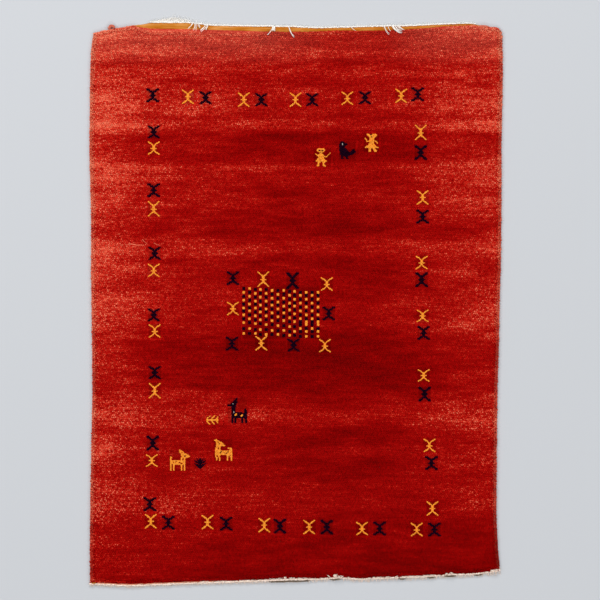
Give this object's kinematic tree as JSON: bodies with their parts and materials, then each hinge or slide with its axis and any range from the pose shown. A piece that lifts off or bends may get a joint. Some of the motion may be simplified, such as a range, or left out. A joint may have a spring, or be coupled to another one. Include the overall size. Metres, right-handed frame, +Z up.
{
  "type": "gabbeh rug",
  "caption": "Hand-knotted wool floor rug: deep red pile with a border of small yellow and navy crosses, animal figures, a chequered centre, orange flatwoven ends and short cream fringes",
  "frame": {"origin": "on the floor, under the middle of the whole rug with its fringes", "axes": "+Z up out of the pile, +Y along the rug towards its upper end, +X across it"},
  "size_m": [1.5084, 2.094, 0.0137],
  "materials": {
    "pile_wool": "deep red cut wool pile with lighter and darker bands from dye lots",
    "side_wool": "brownish red wool wrapped over the side cords",
    "fringe_cotton": "cream undyed warp yarn, knotted and cut short",
    "kilim_wool": "orange flatwoven wool at both ends",
    "gold_wool": "golden yellow wool of the small motifs",
    "navy_wool": "dark navy wool of the small motifs"
  },
  "bodies": {
    "root": {"rug_cloth": "pile_wool", "side_cord_left": "side_wool", "side_cord_right": "side_wool", "fringe_upper": "fringe_cotton", "fringe_lower": "fringe_cotton"}
  },
  "joints": []
}
